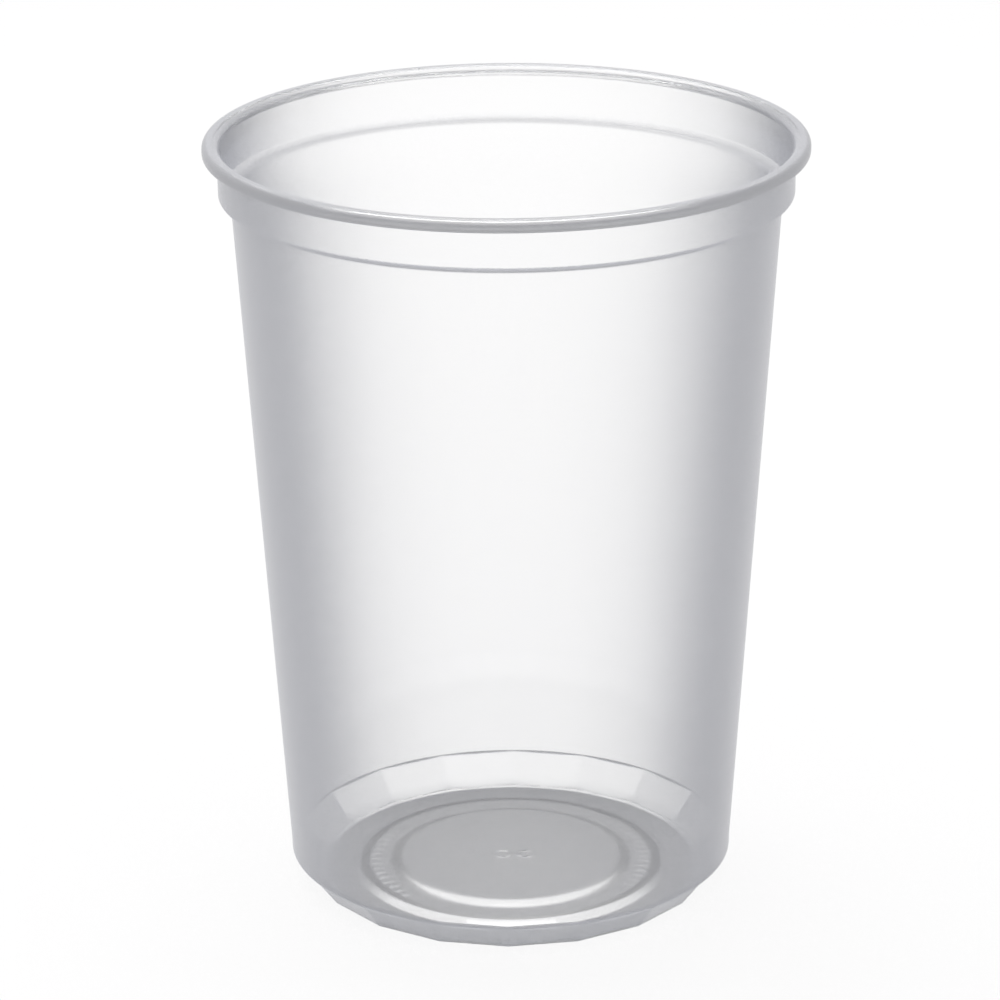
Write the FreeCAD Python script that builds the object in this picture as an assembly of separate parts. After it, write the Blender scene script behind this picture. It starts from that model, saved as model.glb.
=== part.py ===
import FreeCAD, Part
import math
import os

# Clear plastic deli cup for 32 fl oz, thermoformed from one sheet of polypropylene.
# Millimetres, +Z up, origin at the centre of the foot on the surface that the cup stands on.

# ---- driving sizes ----
height = 149.3          # overall, foot to the top of the lip
rim_radius = 57.15      # outside of the rolled lip: 4 1/2 in across
wall = 0.5              # the sheet, everywhere

lip_height = 2.3        # rolled lip, top to underside
lip_bend = 0.95         # outer radius of the roll, at the mouth and at the rim
lip_chamfer = 0.55      # where the roll turns under
lip_gap = 0.35          # open slot between the lip's tucked edge and the band
band_radius = 54.3      # outside of the straight band that the lid plugs into
band_height = 7.65      # band, from the lip's underside down to the shoulder

shoulder_step = 2.25    # how far the shoulder steps in below the band
shoulder_drop = 0.6     # how far the shoulder falls over that step

heel_radius = 43.25     # outside of the tapered wall at its lower end
heel_height = 5.8       # top of the faceted heel
facets = 18             # flat faces round the heel
foot_radius = 38.75     # corner radius of the faceted foot on the table
foot_fillet = 0.5       # outer edge of the foot
inner_fillet = 1.1      # the same edge inside the cup

ring_radius = 31.2      # inner edge of the flat ring that the cup stands on
ramp_1_run = 2.8        # first ramp of the raised floor
ramp_1_rise = 0.85
tread_width = 3.7       # flat annulus between the two ramps
ramp_2_run = 4.0        # second ramp
ramp_2_rise = 0.7

# ---- sizes that follow ----
lip_underside = height - lip_height
shoulder_top = lip_underside - band_height
wall_top = shoulder_top - shoulder_drop
wall_top_radius = band_radius - shoulder_step
ledge_top = heel_height + wall
wall_slope = (wall_top_radius - heel_radius) / (wall_top - heel_height)
wall_offset = wall * math.hypot(1.0, wall_slope)


def outer_wall_radius(z):
    """Outside radius of the tapered wall at height z."""
    return heel_radius + wall_slope * (z - heel_height)


def rounded_face(corners):
    """Face in the XZ plane from (radius, height, corner radius) points taken in order."""
    points = [FreeCAD.Vector(r, 0, z) for r, z, _ in corners]
    count = len(points)
    ends = []
    for i in range(count):
        bend = corners[i][2]
        here = points[i]
        before = (points[i - 1] - here).normalize()
        after = (points[(i + 1) % count] - here).normalize()
        if bend == 0:
            ends.append((here, here, here))
            continue
        half = before.getAngle(after) / 2
        reach = bend / math.tan(half)
        middle = (before + after).normalize()
        crown = here + middle * (bend / math.sin(half) - bend)
        ends.append((here + before * reach, crown, here + after * reach))
    edges = []
    for i in range(count):
        start, crown, stop = ends[i]
        if start != stop:
            edges.append(Part.Arc(start, crown, stop).toShape())
        following = ends[(i + 1) % count][0]
        if stop.distanceToPoint(following) > 1e-7:
            edges.append(Part.makeLine(stop, following))
    return Part.Face(Part.Wire(edges))


def turned(corners):
    """Solid of revolution about the cup's axis."""
    axis = FreeCAD.Vector(0, 0, 1)
    return rounded_face(corners).revolve(FreeCAD.Vector(0, 0, 0), axis, 360)


def faceted_plug(low, low_radius, high, high_radius):
    """Solid between two regular polygons, given by height and corner radius, a corner facing the front."""
    rings = []
    for z, radius in ((low, low_radius), (high, high_radius)):
        corners = []
        for i in range(facets + 1):
            angle = 2 * math.pi * i / facets - math.pi / 2
            corners.append(FreeCAD.Vector(radius * math.cos(angle), radius * math.sin(angle), z))
        rings.append(Part.makePolygon(corners))
    return Part.makeLoft(rings, True, True)


def edges_at(shape, z):
    """Edges of a shape that lie in the horizontal plane z."""
    return [e for e in shape.Edges if all(abs(v.Z - z) < 1e-6 for v in e.Vertexes)]


def side_wall():
    """Tapered wall, shoulder, lid band and rolled lip, as one turned sheet."""
    band_inside = band_radius - wall
    tuck = band_radius + lip_gap
    inner_top = wall_top_radius - wall_offset + wall_slope * wall
    return turned([
        (outer_wall_radius(ledge_top), ledge_top, 0),
        (wall_top_radius, wall_top, 0),
        (band_radius, shoulder_top, 0),
        (band_radius, height - wall, 0),
        (rim_radius - wall, height - wall, 0),
        (rim_radius - wall, lip_underside + wall, 0),
        (tuck, lip_underside + wall, 0),
        (tuck, lip_underside, 0),
        (rim_radius - lip_chamfer, lip_underside, 0),
        (rim_radius, lip_underside + lip_chamfer, 0),
        (rim_radius, height, lip_bend),
        (band_inside, height, lip_bend),
        (band_inside, shoulder_top + wall, 0),
        (inner_top, wall_top + wall, 0),
        (outer_wall_radius(ledge_top) - wall_offset, ledge_top, 0),
    ])


def raised_floor(level, base):
    """Two shallow ramps that lift the middle of the floor above level, filled down to height base."""
    tread = ring_radius - ramp_1_run
    riser = tread - tread_width
    low = level + ramp_1_rise
    return turned([
        (0, base, 0),
        (ring_radius, base, 0),
        (ring_radius, level, 0),
        (tread, low, 0),
        (riser, low, 0),
        (riser - ramp_2_run, low + ramp_2_rise, 0),
        (0, low + ramp_2_rise, 0),
    ])


def heel():
    """Faceted heel, its ledge under the tapered wall, and the stepped floor."""
    outside = faceted_plug(0, foot_radius, heel_height, heel_radius)
    outside = outside.makeFillet(foot_fillet, edges_at(outside, 0))
    ledge = turned([
        (0, heel_height, 0),
        (heel_radius, heel_height, 0),
        (outer_wall_radius(ledge_top), ledge_top, 0),
        (0, ledge_top, 0),
    ])
    apothem_share = math.cos(math.pi / facets)
    flare = (heel_radius - foot_radius) * apothem_share / heel_height
    floor_inset = wall * (math.hypot(1, flare) - flare) / apothem_share
    inner_heel = outer_wall_radius(ledge_top) - wall_offset
    inside = faceted_plug(wall, foot_radius - floor_inset, ledge_top, inner_heel)
    inside = inside.makeFillet(inner_fillet, edges_at(inside, wall))
    inside = inside.cut(raised_floor(wall, 0))
    return outside.fuse(ledge).cut(raised_floor(0, -1)).cut(inside)


os.makedirs("parts", exist_ok=True)
cup = side_wall().fuse(heel()).removeSplitter()
if cup.ShapeType == "Compound" and len(cup.Solids) == 1:
    cup = cup.Solids[0]
cup.exportStep("parts/cup.step")
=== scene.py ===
import math

import bmesh
import bpy
from mathutils import Euler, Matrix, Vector


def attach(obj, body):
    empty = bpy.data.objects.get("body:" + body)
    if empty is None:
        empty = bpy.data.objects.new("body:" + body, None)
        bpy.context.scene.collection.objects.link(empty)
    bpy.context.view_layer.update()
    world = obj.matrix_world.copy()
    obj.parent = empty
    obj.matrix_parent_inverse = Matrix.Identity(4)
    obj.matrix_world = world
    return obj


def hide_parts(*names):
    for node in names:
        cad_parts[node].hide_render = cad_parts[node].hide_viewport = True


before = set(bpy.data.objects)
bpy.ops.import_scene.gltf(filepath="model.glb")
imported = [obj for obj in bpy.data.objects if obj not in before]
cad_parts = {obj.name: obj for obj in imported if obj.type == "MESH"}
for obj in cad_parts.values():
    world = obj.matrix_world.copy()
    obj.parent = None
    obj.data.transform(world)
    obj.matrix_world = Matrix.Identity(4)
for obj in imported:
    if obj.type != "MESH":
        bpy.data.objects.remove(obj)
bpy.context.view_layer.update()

MM = 0.001

# ---------------------------------------------------------------------------
# The sheet of the cup.
# One skin of clear polypropylene, half a millimetre thick everywhere, formed
# in a single piece from the stepped floor up to the rolled lip.  It is drawn
# here as its cut edge, and spun once round the cup's axis.
# ---------------------------------------------------------------------------
FACETS = 18
STEPS_PER_FACET = 16
HALF_FACET = math.pi / FACETS
BEND_STEP = 11           # degrees of a bend for each of its segments
WALL_CUTS = 23
SAME_POINT = 0.005 * MM
TREAD_TOP = 1.35         # levels of the stepped floor, inside, in millimetres
MIDDLE_TOP = 2.05
MIDDLE_RINGS = 20
MIDDLE_SPACING = 0.3

# each corner: distance from the axis, height, radius of the bend there
outer_face = [
    (0.0, 1.55, 0),          # middle of the floor, seen from under the cup
    (21.8, 1.55, 5.5),       # inner step
    (23.6, 0.85, 5.5),
    (28.0, 0.85, 2.0),       # outer step
    (29.4, 0.72, 2.5),
    (31.3, 0.0, 2.2),        # foot ring
    (38.75, 0.0, 0.65),      # foot corner
    (43.05, 5.65, 0),        # top of the facets
    (43.30, 5.65, 0),        # ledge over them
    (43.32, 7.0, 0),
    (51.93, 137.0, 0),
    (52.02, 138.40, 0.6),    # shoulder
    (54.30, 139.15, 0.5),
    (54.30, 148.80, 0.9),    # hollow of the rolled lip
    (56.65, 148.80, 0.6),
    (56.65, 147.9, 0.3),
    (54.65, 147.75, 0.12),   # its tucked edge
    (54.65, 147.15, 0.12),
    (57.15, 146.8, 0.65),    # under the lip
]
inner_face = [
    (57.15, 149.30, 1.15),   # over the lip
    (53.80, 149.30, 1.6),
    (53.80, 139.60, 0.3),    # lid band
    (51.50, 138.65, 0.8),
    (51.44, 137.0, 0),
    (42.83, 7.0, 0),
    (42.78, 6.15, 0),        # ledge, inside
    (42.52, 6.15, 0),        # top of the facets, inside
    (38.00, 0.5, 4.2),       # foot corner, inside
    (31.3, 0.5, 2.2),
    (29.4, 1.22, 2.5),
    (28.0, TREAD_TOP, 2.0),
    (27.7, TREAD_TOP, 0),    # ring of dashes
    (25.5, TREAD_TOP, 0),
    (23.6, TREAD_TOP, 5.5),
    (21.8, MIDDLE_TOP, 5.5),
    *((MIDDLE_SPACING * ring, MIDDLE_TOP, 0) for ring in range(MIDDLE_RINGS, 0, -1)),
    (0.0, MIDDLE_TOP, 0),    # middle of the floor
]
cut_edge = outer_face + inner_face

sheet = bmesh.new()
corners = [sheet.verts.new((r * MM, 0, z * MM)) for r, z, bend in cut_edge]
for start, end in zip(corners, corners[1:]):
    sheet.edges.new((start, end))
for at in range(1, len(cut_edge) - 1):
    bend_radius = cut_edge[at][2]
    if not bend_radius:
        continue
    before, here, after = (Vector((r, z)) for r, z, bend in cut_edge[at - 1:at + 2])
    turn = (here - before).angle(after - here)
    bmesh.ops.bevel(
        sheet, geom=[corners[at]], offset=bend_radius * math.tan(turn / 2) * MM,
        offset_type="OFFSET", segments=max(4, round(math.degrees(turn) / BEND_STEP)),
        profile=0.5, affect="VERTICES", material=-1,
    )
long_walls = [e for e in sheet.edges if e.calc_length() > 0.1]
bmesh.ops.subdivide_edges(sheet, edges=long_walls, cuts=WALL_CUTS)

bmesh.ops.spin(
    sheet, geom=sheet.verts[:] + sheet.edges[:], cent=(0, 0, 0), axis=(0, 0, 1),
    dvec=(0, 0, 0), angle=2 * math.pi, steps=FACETS * STEPS_PER_FACET, use_merge=True,
)
bmesh.ops.remove_doubles(sheet, verts=sheet.verts[:], dist=SAME_POINT)

# ---------------------------------------------------------------------------
# The faceted heel.
# Between the foot and the wall the mould has eighteen flat faces, with a thin
# crescent ledge over each where the round wall stands out past it.  A corner
# between two faces points to the front.
# ---------------------------------------------------------------------------
FACET_TOPS = ((43.05 * MM, 5.65 * MM), (42.52 * MM, 6.15 * MM))
ROUND_FOOT = 35.8 * MM
FLAT_FOOT = 39.2 * MM


def from_middle(vertex):
    """Angle from the middle of the nearest facet."""
    around = math.atan2(vertex.co.y, vertex.co.x) + math.pi / 2
    return abs(around % (2 * HALF_FACET) - HALF_FACET)


def flatness(vertex):
    """How far a point follows its flat facet: the foot is round, and blends up into it."""
    reach = math.hypot(vertex.co.x, vertex.co.y)
    for top_radius, top_height in FACET_TOPS:
        if abs(vertex.co.z - top_height) < 0.01 * MM:
            return 1.0 if reach < top_radius + 0.01 * MM else 0.0
    if vertex.co.z > FACET_TOPS[0][1]:
        return 0.0
    if vertex.co.z < 0.3 * MM:
        return 1.0 if reach > ROUND_FOOT else 0.0
    rise = min(max((reach - ROUND_FOOT) / (FLAT_FOOT - ROUND_FOOT), 0), 1)
    return rise * rise * (3 - 2 * rise)


heel = [(v, flatness(v)) for v in sheet.verts]
heel_set = {v for v, amount in heel if amount > 0.9}
for v, amount in heel:
    flat = 1 + amount * (math.cos(HALF_FACET) / math.cos(from_middle(v)) - 1)
    v.co.x *= flat
    v.co.y *= flat

for e in sheet.edges:
    on_heel = [v in heel_set for v in e.verts]
    at_corner = [from_middle(v) > HALF_FACET * 0.99 for v in e.verts]
    level = abs(e.verts[0].co.z - e.verts[1].co.z) < 0.001 * MM
    e.smooth = not (all(on_heel) and all(at_corner))
    if level and any(abs(e.verts[0].co.z - top) < 0.001 * MM for radius, top in FACET_TOPS):
        e.smooth = False

# ---------------------------------------------------------------------------
# The moulder's marks on the floor.
# Two rows of short raised dashes on the outer tread, and the low round ridges
# that two vents in the mould leave near the middle, all plain.
# ---------------------------------------------------------------------------
DASH_SLOPE = 0.09 * MM
DASH_RISE = 0.10 * MM
VENTS = (Vector((-1.7, 0)) * MM, Vector((3.1, 0)) * MM)
VENT_RADIUS = 1.6 * MM
RIDGE_HALF_WIDTH = 0.6 * MM
RIDGE_RISE = 0.12 * MM


def dashed(reach, around):
    return 25.5 < reach < 27.7 and around % 5 < 2.5 and not 45 < around < 150


bmesh.ops.recalc_face_normals(sheet, faces=sheet.faces[:])
dashes = []
for f in sheet.faces:
    spot = f.calc_center_median() / MM
    if f.normal.z > 0.99 and abs(spot.z - TREAD_TOP) < 0.01:
        around = math.degrees(math.atan2(spot.y, spot.x)) % 180
        if dashed(math.hypot(spot.x, spot.y), around):
            dashes.append(f)
bmesh.ops.inset_region(
    sheet, faces=dashes, thickness=DASH_SLOPE, depth=DASH_RISE, use_even_offset=True,
)

for v in sheet.verts:
    if abs(v.co.z - MIDDLE_TOP * MM) < 0.01 * MM:
        for vent in VENTS:
            off = abs((v.co.xy - vent).length - VENT_RADIUS) / RIDGE_HALF_WIDTH
            if off < 1:
                v.co.z += RIDGE_RISE * (1 - off * off) ** 2

for f in sheet.faces:
    f.smooth = True
cup_mesh = bpy.data.meshes.new("deli_cup")
sheet.to_mesh(cup_mesh)
sheet.free()
cup = bpy.data.objects.new("deli_cup", cup_mesh)
bpy.context.scene.collection.objects.link(cup)

even_light = cup.modifiers.new("even_normals", "WEIGHTED_NORMAL")
even_light.mode = "FACE_AREA"
even_light.weight = 50
even_light.keep_sharp = True

# ---------------------------------------------------------------------------
# The plastic.
# Clear polypropylene: glossy, a little wavy, and faintly milky, so that the
# wall turns cool grey where it is looked at along its surface; that grey is partly the milky haze
# and partly painted shade, standing for the dark room seen along the wall.
# ---------------------------------------------------------------------------
clear_plastic = bpy.data.materials.new("clear_polypropylene")
clear_plastic.use_nodes = True
tree = clear_plastic.node_tree
tree.nodes.clear()
PLASTIC_IOR = 1.49
# painted shade: the wall's cool grey haze, partly standing for the dark room seen along the wall
WALL_HAZE_SHADE_GREY = (0.46, 0.465, 0.495, 1)
# painted shade: grey of the floor's haze, standing for the shadowed table under the cup
FLOOR_SHADE_GREY = (0.53, 0.53, 0.54, 1)
# painted shade: darker greys for the floor's two sloping steps
INNER_STEP_SHADE = (0.31, 0.31, 0.32, 1)
OUTER_STEP_SHADE = (0.18, 0.18, 0.19, 1)
# painted light: paler grey for the heel facets, which face down into shade
FACET_PAINTED_LIGHT_GREY = (0.54, 0.547, 0.58, 1)
# painted shade: darker grey for the outer half of the lip's roll
ROLL_SHADE_GREY = (0.40, 0.403, 0.425, 1)
FROM_BEHIND = (0.72, 0.73, 0.78, 1)
CAUGHT_IN_WALL = (0.42, 0.425, 0.455, 1)
CAUGHT_IN_BENDS = (0.60, 0.607, 0.64, 1)
# painted highlight: paler grey for light caught in the lip
CAUGHT_IN_LIP_HIGHLIGHT = (0.85, 0.855, 0.87, 1)
# painted highlight: white along the crown of the lip
CROWN_HIGHLIGHT_WHITE = (0.90, 0.905, 0.92, 1)


def node(kind, **settings):
    made = tree.nodes.new(kind)
    for name, value in settings.items():
        setattr(made, name, value)
    return made


plastic_out = node("ShaderNodeOutputMaterial")
clear = node("ShaderNodeBsdfPrincipled")
clear.inputs["Base Color"].default_value = (1, 1, 1, 1)
clear.inputs["Transmission Weight"].default_value = 1.0
clear.inputs["Roughness"].default_value = 0.02
clear.inputs["IOR"].default_value = PLASTIC_IOR

milky_shade = node("ShaderNodeBsdfPrincipled")
milky_shade.inputs["Roughness"].default_value = 0.25
milky_shade.inputs["Specular IOR Level"].default_value = 0.15
milky_shade.inputs["IOR"].default_value = PLASTIC_IOR


def sum_node(operation, first, second=None, third=None):
    made = node("ShaderNodeMath", operation=operation)
    for place, value in enumerate((first, second, third)):
        if isinstance(value, (int, float)):
            made.inputs[place].default_value = value
        elif value is not None:
            tree.links.new(value, made.inputs[place])
    return made.outputs["Value"]


def between(value, start, end, low=0.0, high=1.0):
    """A soft step from low to high as value goes from start to end."""
    made = node("ShaderNodeMapRange", interpolation_type="SMOOTHSTEP")
    made.inputs["From Min"].default_value = start
    made.inputs["From Max"].default_value = end
    made.inputs["To Min"].default_value = low
    made.inputs["To Max"].default_value = high
    tree.links.new(value, made.inputs["Value"])
    return made.outputs["Result"]


def tinted(amount, first, second):
    """The first colour, turned to the second by amount."""
    made = node("ShaderNodeMix", data_type="RGBA")
    tree.links.new(amount, made.inputs["Factor"])
    for socket, colour in ((made.inputs["A"], first), (made.inputs["B"], second)):
        if isinstance(colour, tuple):
            socket.default_value = colour
        else:
            tree.links.new(colour, socket)
    return made.outputs["Result"]


place = node("ShaderNodeTexCoord")
spot = node("ShaderNodeSeparateXYZ")
tree.links.new(place.outputs["Object"], spot.inputs["Vector"])
height = spot.outputs["Z"]
across = sum_node("MULTIPLY", spot.outputs["X"], spot.outputs["X"])
reach = sum_node("SQRT", sum_node("MULTIPLY_ADD", spot.outputs["Y"], spot.outputs["Y"], across))
faces = node("ShaderNodeSeparateXYZ")
tree.links.new(place.outputs["Normal"], faces.inputs["Vector"])
level = sum_node("ABSOLUTE", faces.outputs["Z"])
outward = sum_node("MULTIPLY", faces.outputs["X"], spot.outputs["X"])
outward = sum_node("MULTIPLY_ADD", faces.outputs["Y"], spot.outputs["Y"], outward)
outward = sum_node("DIVIDE", outward, sum_node("MAXIMUM", reach, 0.001))
inner_side = between(outward, -0.3, 0.0, 1, 0)

# the haze is deeper along the surface and towards the floor, in upright streaks;
# only how clear the sheet is follows the slant, and no colour does
facing = node("ShaderNodeLayerWeight")
facing.inputs["Blend"].default_value = 0.5
slant = facing.outputs["Facing"]
steep = sum_node("POWER", sum_node("DIVIDE", slant, 0.49), 2.9)
cloud = sum_node("MULTIPLY_ADD", slant, 0.25, between(height, 0.07, 0.14, 0.050, 0.028))
cloud = sum_node("ADD", cloud, steep)
drawn_up = node("ShaderNodeMapping")
drawn_up.inputs["Scale"].default_value = (70, 70, 7)
tree.links.new(place.outputs["Object"], drawn_up.inputs["Vector"])
streaks = node("ShaderNodeTexNoise")
streaks.inputs["Scale"].default_value = 1.0
streaks.inputs["Detail"].default_value = 3.0
tree.links.new(drawn_up.outputs["Vector"], streaks.inputs["Vector"])
cloud = sum_node("MULTIPLY", cloud, between(streaks.outputs["Fac"], 0.3, 0.7, 0.93, 1.07))

# the level flats of the shoulder and the lip are stretched thin and stay clear
top_flats = sum_node("MULTIPLY", between(level, 0.7, 0.95), between(height, 0.09, 0.11))
shoulder_clear = between(slant, 0.36, 0.60, 0.92, 0.5)
lip_clear = sum_node("SUBTRACT", between(slant, 0.60, 0.78, 0.8, 0.3), shoulder_clear)
lip_clear = sum_node("MULTIPLY_ADD", lip_clear, between(height, 0.1475, 0.1480), shoulder_clear)
top_flats = sum_node("MULTIPLY", top_flats, lip_clear)
cloud = sum_node("MULTIPLY", cloud, sum_node("SUBTRACT", 1, top_flats))
# the mouth is clearer inside than outside, most of all just under the shoulder
above_shoulder = between(height, 0.1392, 0.1402, 0, 0.05)
mouth = sum_node("SUBTRACT", between(height, 0.126, 0.137, 0, 0.4), above_shoulder)
minus_inner = sum_node("MULTIPLY", inner_side, -1)
cloud = sum_node("MULTIPLY", cloud, sum_node("MULTIPLY_ADD", mouth, minus_inner, 1))
# the sharp bend at the shoulder has blushed a little
below_band = between(height, 0.1387, 0.1394, 1, 0)
blush = sum_node("MULTIPLY", between(height, 0.1379, 0.1386), below_band)
cloud = sum_node("MULTIPLY_ADD", sum_node("MULTIPLY", blush, inner_side), 0.48, cloud)
# the outer half of the roll is several layers deep; it is hazed more and given a darker grey,
# painted shade standing for the dark its bends refract
lean = sum_node("MULTIPLY_ADD", outward, 0.5, slant)
roll = sum_node("MAXIMUM", between(height, 0.1484, 0.1491, 1, 0), between(lean, 0.55, 0.70))
outer_half = sum_node("MULTIPLY", between(reach, 0.0550, 0.0562), between(outward, 0.1, 0.4))
roll = sum_node("MULTIPLY", roll, outer_half)
cloud = sum_node("MULTIPLY_ADD", roll, 1.8, cloud)
# the floor is pressed thicker and hazes over sooner; its grey haze is also painted shade, standing
# for the shadowed table seen through the floor
on_floor = between(height, 0.0022, 0.0030, 1, 0)
in_foot = sum_node("MULTIPLY", on_floor, between(reach, 0.0368, 0.0376, 1, 0))
floor_shade_cloud = between(slant, 0.40, 0.60, 0.03, 2.3)
cloud = sum_node("MULTIPLY_ADD", sum_node("SUBTRACT", floor_shade_cloud, cloud), in_foot, cloud)
haze = sum_node("SUBTRACT", 1, sum_node("EXPONENT", sum_node("MULTIPLY", cloud, -1)))

# painted shade: cool grey on the wall and neutral grey on the floor, darker on the floor's two
# steps and on the roll of the lip; painted light: paler on the facets under the wall
# painted shade on the sloping faces of the floor's two steps
sloping = between(level, 0.978, 0.9985, 1, 0)
steps = sum_node("MULTIPLY", sloping, between(reach, 0.0294, 0.0302, 1, 0))
outer_step = between(reach, 0.0277, 0.0283, 0, 0.9)
outer_step = sum_node("MULTIPLY", outer_step, between(reach, 0.0294, 0.0302, 1, 0))
steps = sum_node("MULTIPLY", sum_node("MAXIMUM", steps, outer_step), on_floor)
step_shade_grey = tinted(between(reach, 0.025, 0.027), INNER_STEP_SHADE, OUTER_STEP_SHADE)
# painted light on the heel facets, paler than the wall
facets = sum_node("MULTIPLY", between(height, 0.0058, 0.0060, 1, 0), between(reach, 0.0385, 0.0390))
haze_shade_grey = tinted(on_floor, WALL_HAZE_SHADE_GREY, FLOOR_SHADE_GREY)
haze_shade_grey = tinted(steps, haze_shade_grey, step_shade_grey)
haze_shade_grey = tinted(facets, haze_shade_grey, FACET_PAINTED_LIGHT_GREY)
# painted shade on the outer half of the lip's roll
haze_shade_grey = tinted(outer_half, haze_shade_grey, ROLL_SHADE_GREY)
tree.links.new(haze_shade_grey, milky_shade.inputs["Base Color"])

# on the inner face more than half of what the haze scatters comes from behind,
# up to where the band turns over into the lip
through = node("ShaderNodeBsdfTranslucent")
through.inputs["Color"].default_value = FROM_BEHIND
scattered = node("ShaderNodeMixShader")
from_behind = sum_node("MULTIPLY", inner_side, between(height, 0.1435, 0.1460, 0.6, 0))
tree.links.new(from_behind, scattered.inputs["Fac"])
tree.links.new(milky_shade.outputs["BSDF"], scattered.inputs[1])
tree.links.new(through.outputs["BSDF"], scattered.inputs[2])

outside = node("ShaderNodeMixShader")
tree.links.new(haze, outside.inputs["Fac"])
tree.links.new(clear.outputs["BSDF"], outside.inputs[1])
tree.links.new(scattered.outputs["Shader"], outside.inputs[2])

# light that is caught inside the sheet comes out as a grey edge; along the crown of the lip and
# round the foot it is paler, a painted highlight on the crown and painted light against the shade
# at the foot
caught = node("ShaderNodeBsdfTranslucent")
in_lip_highlight = between(height, 0.1466, 0.1470)
below_wall = between(height, 0.0070, 0.0074, 1, 0)
in_ledge = sum_node("MULTIPLY", between(height, 0.0050, 0.0056), below_wall)
in_shoulder = sum_node("MULTIPLY", between(height, 0.1370, 0.1376), inner_side)
in_bends = sum_node("MAXIMUM", in_ledge, in_shoulder)
trapped = tinted(in_bends, CAUGHT_IN_WALL, CAUGHT_IN_BENDS)
tree.links.new(tinted(in_lip_highlight, trapped, CAUGHT_IN_LIP_HIGHLIGHT), caught.inputs["Color"])
crown_highlight = node("ShaderNodeBsdfDiffuse")
crown_highlight.inputs["Color"].default_value = CROWN_HIGHLIGHT_WHITE
edge = node("ShaderNodeMixShader")
# painted light round the foot, against the contact shade under it
foot_painted_light = between(height, 0.0004, 0.0010, 0.6, 0)
painted_light_edges = sum_node("ADD", between(height, 0.1484, 0.1487), foot_painted_light)
tree.links.new(painted_light_edges, edge.inputs["Fac"])
tree.links.new(caught.outputs["BSDF"], edge.inputs[1])
tree.links.new(crown_highlight.outputs["BSDF"], edge.inputs[2])
past_critical = between(slant, 0.28, 0.40, 0, 0.9)
inside = node("ShaderNodeMixShader")
tree.links.new(past_critical, inside.inputs["Fac"])
tree.links.new(clear.outputs["BSDF"], inside.inputs[1])
tree.links.new(edge.outputs["Shader"], inside.inputs[2])

sides = node("ShaderNodeNewGeometry")
both = node("ShaderNodeMixShader")
tree.links.new(sides.outputs["Backfacing"], both.inputs["Fac"])
tree.links.new(outside.outputs["Shader"], both.inputs[1])
tree.links.new(inside.outputs["Shader"], both.inputs[2])
tree.links.new(both.outputs["Shader"], plastic_out.inputs["Surface"])
cup_mesh.materials.append(clear_plastic)

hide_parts("cup")
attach(cup, "root")

# ---------------------------------------------------------------------------
# The table and the studio.
# A plain white table top that runs out of sight, under an even soft light
# from all round.
# ---------------------------------------------------------------------------
TABLE_HALF = 12.0
TABLE_WHITE = (0.97, 0.97, 0.97, 1)
TABLE_SEEN_WHITE = 0.88
WHITE = (1, 1, 1, 1)

table_top = bmesh.new()
bmesh.ops.create_grid(table_top, x_segments=1, y_segments=1, size=TABLE_HALF)
table_mesh = bpy.data.meshes.new("table_top")
table_top.to_mesh(table_mesh)
table_top.free()
table = bpy.data.objects.new("table_top", table_mesh)
bpy.context.scene.collection.objects.link(table)

white_table = bpy.data.materials.new("white_table")
white_table.use_nodes = True
tree = white_table.node_tree
tree.nodes.clear()
table_out = node("ShaderNodeOutputMaterial")
painted = node("ShaderNodeBsdfDiffuse")
painted.inputs["Color"].default_value = TABLE_WHITE
glow = node("ShaderNodeEmission")
glow.inputs["Color"].default_value = WHITE
glow.inputs["Strength"].default_value = 1
rays = node("ShaderNodeLightPath")
seen = sum_node("MAXIMUM", rays.outputs["Is Camera Ray"], rays.outputs["Is Glossy Ray"])
seen = sum_node("MAXIMUM", seen, rays.outputs["Is Transmission Ray"])
lit = node("ShaderNodeMixShader")
tree.links.new(sum_node("MULTIPLY", seen, TABLE_SEEN_WHITE), lit.inputs["Fac"])
tree.links.new(painted.outputs["BSDF"], lit.inputs[1])
tree.links.new(glow.outputs["Emission"], lit.inputs[2])
tree.links.new(lit.outputs["Shader"], table_out.inputs["Surface"])
table_mesh.materials.append(white_table)

ROOM_LIGHT = 0.8
studio = bpy.data.worlds.new("studio")
bpy.context.scene.world = studio
studio.use_nodes = True
tree = studio.node_tree
tree.nodes.clear()
studio_out = node("ShaderNodeOutputWorld")
studio_light = node("ShaderNodeBackground")
studio_light.inputs["Color"].default_value = WHITE
studio_light.inputs["Strength"].default_value = ROOM_LIGHT
backdrop = node("ShaderNodeBackground")
backdrop.inputs["Color"].default_value = WHITE
backdrop.inputs["Strength"].default_value = 1.0
rays = node("ShaderNodeLightPath")
seen = sum_node("MAXIMUM", rays.outputs["Is Camera Ray"], rays.outputs["Is Glossy Ray"])
seen = sum_node("MAXIMUM", seen, rays.outputs["Is Transmission Ray"])
around = node("ShaderNodeMixShader")
tree.links.new(seen, around.inputs["Fac"])
tree.links.new(studio_light.outputs["Background"], around.inputs[1])
tree.links.new(backdrop.outputs["Background"], around.inputs[2])
tree.links.new(around.outputs["Shader"], studio_out.inputs["Surface"])

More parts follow.
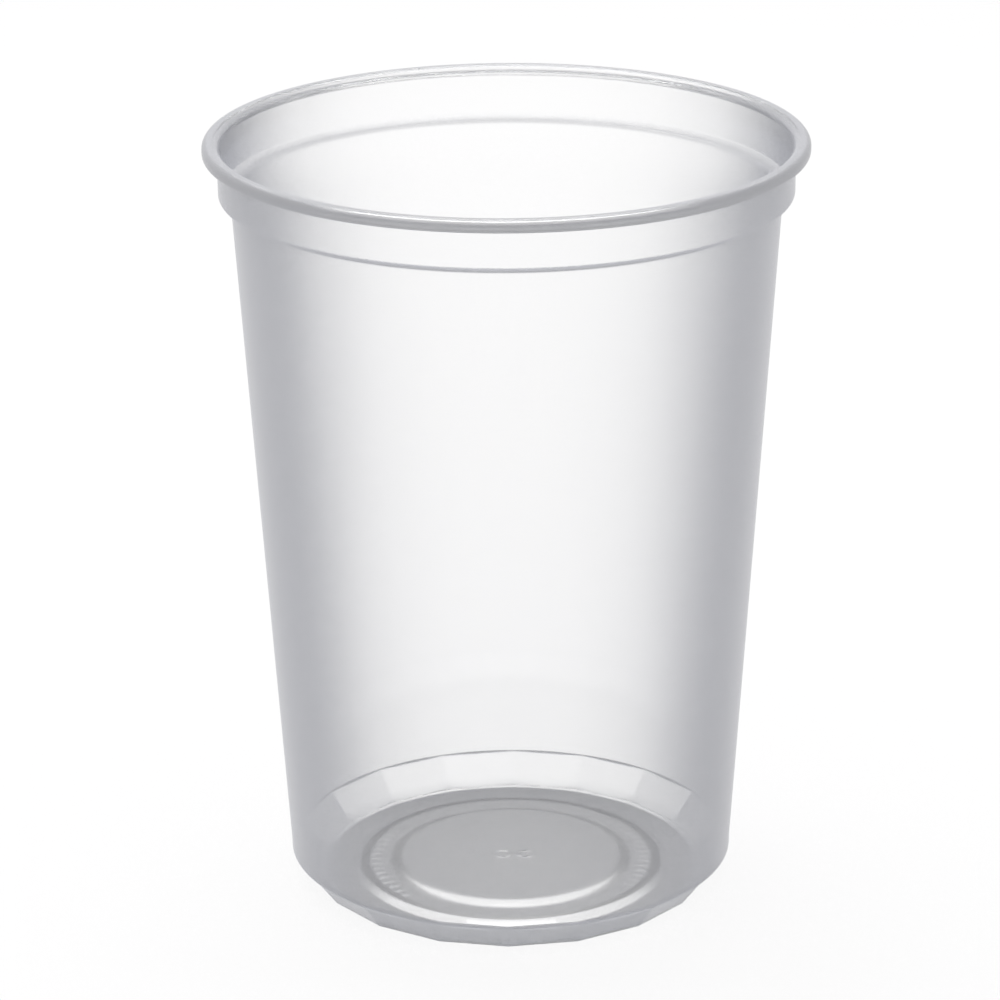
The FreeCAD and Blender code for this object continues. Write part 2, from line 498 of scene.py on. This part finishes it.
SOFT_BOX_WIDE = 0.8
SOFT_BOX_DEEP = 0.6
SOFT_BOX_GLOW = 2.5
SOFT_BOX_PLACE = (-0.15, 0.40, 0.90)
SOFT_BOX_TURN = (-math.atan2(0.40, 0.80), math.atan2(-0.15, 0.90), 0)

soft_box_light = bpy.data.lights.new("soft_box", "AREA")
soft_box_light.shape = "RECTANGLE"
soft_box_light.size = SOFT_BOX_WIDE
soft_box_light.size_y = SOFT_BOX_DEEP
soft_box_light.energy = SOFT_BOX_GLOW * math.pi * SOFT_BOX_WIDE * SOFT_BOX_DEEP
soft_box = bpy.data.objects.new("soft_box", soft_box_light)
bpy.context.scene.collection.objects.link(soft_box)
soft_box.location = SOFT_BOX_PLACE
soft_box.rotation_euler = SOFT_BOX_TURN

# ---------------------------------------------------------------------------
# The camera.
# It stands four fifths of a metre in front of the cup, looks down on it by
# twenty degrees, and has a long lens.
# ---------------------------------------------------------------------------
CAMERA_AWAY = 0.7945
CAMERA_HEIGHT = 0.3632
CAMERA_TURN = math.radians(0.93)
CAMERA_ASIDE = 0.00165
CAMERA_DOWN = math.radians(19.826)
CAMERA_ROLL = math.radians(-0.4)
SENSOR_WIDTH = 36
FOCAL_LENGTH = 157.32
LIGHT_TURNS = 24         # how often light may pass a face of the clear sheet

lens = bpy.data.cameras.new("camera")
lens.sensor_width = SENSOR_WIDTH
lens.lens = FOCAL_LENGTH
camera = bpy.data.objects.new("camera", lens)
bpy.context.scene.collection.objects.link(camera)
turn = Euler((0, 0, CAMERA_TURN)).to_matrix()
camera.location = turn @ Vector((-CAMERA_ASIDE, -CAMERA_AWAY, CAMERA_HEIGHT))
tilt = Euler((math.pi / 2 - CAMERA_DOWN, 0, 0)).to_matrix()
roll = Euler((0, 0, CAMERA_ROLL)).to_matrix()
camera.rotation_euler = (turn @ tilt @ roll).to_euler()
bpy.context.scene.camera = camera
bpy.context.scene.view_settings.view_transform = "Standard"
bpy.context.scene.cycles.max_bounces = LIGHT_TURNS
bpy.context.scene.cycles.transmission_bounces = LIGHT_TURNS
# other noise settings draw thin upright lines on the wall, or speckle the lip
bpy.context.scene.cycles.denoising_input_passes = "RGB"
bpy.context.scene.cycles.denoising_quality = "FAST"
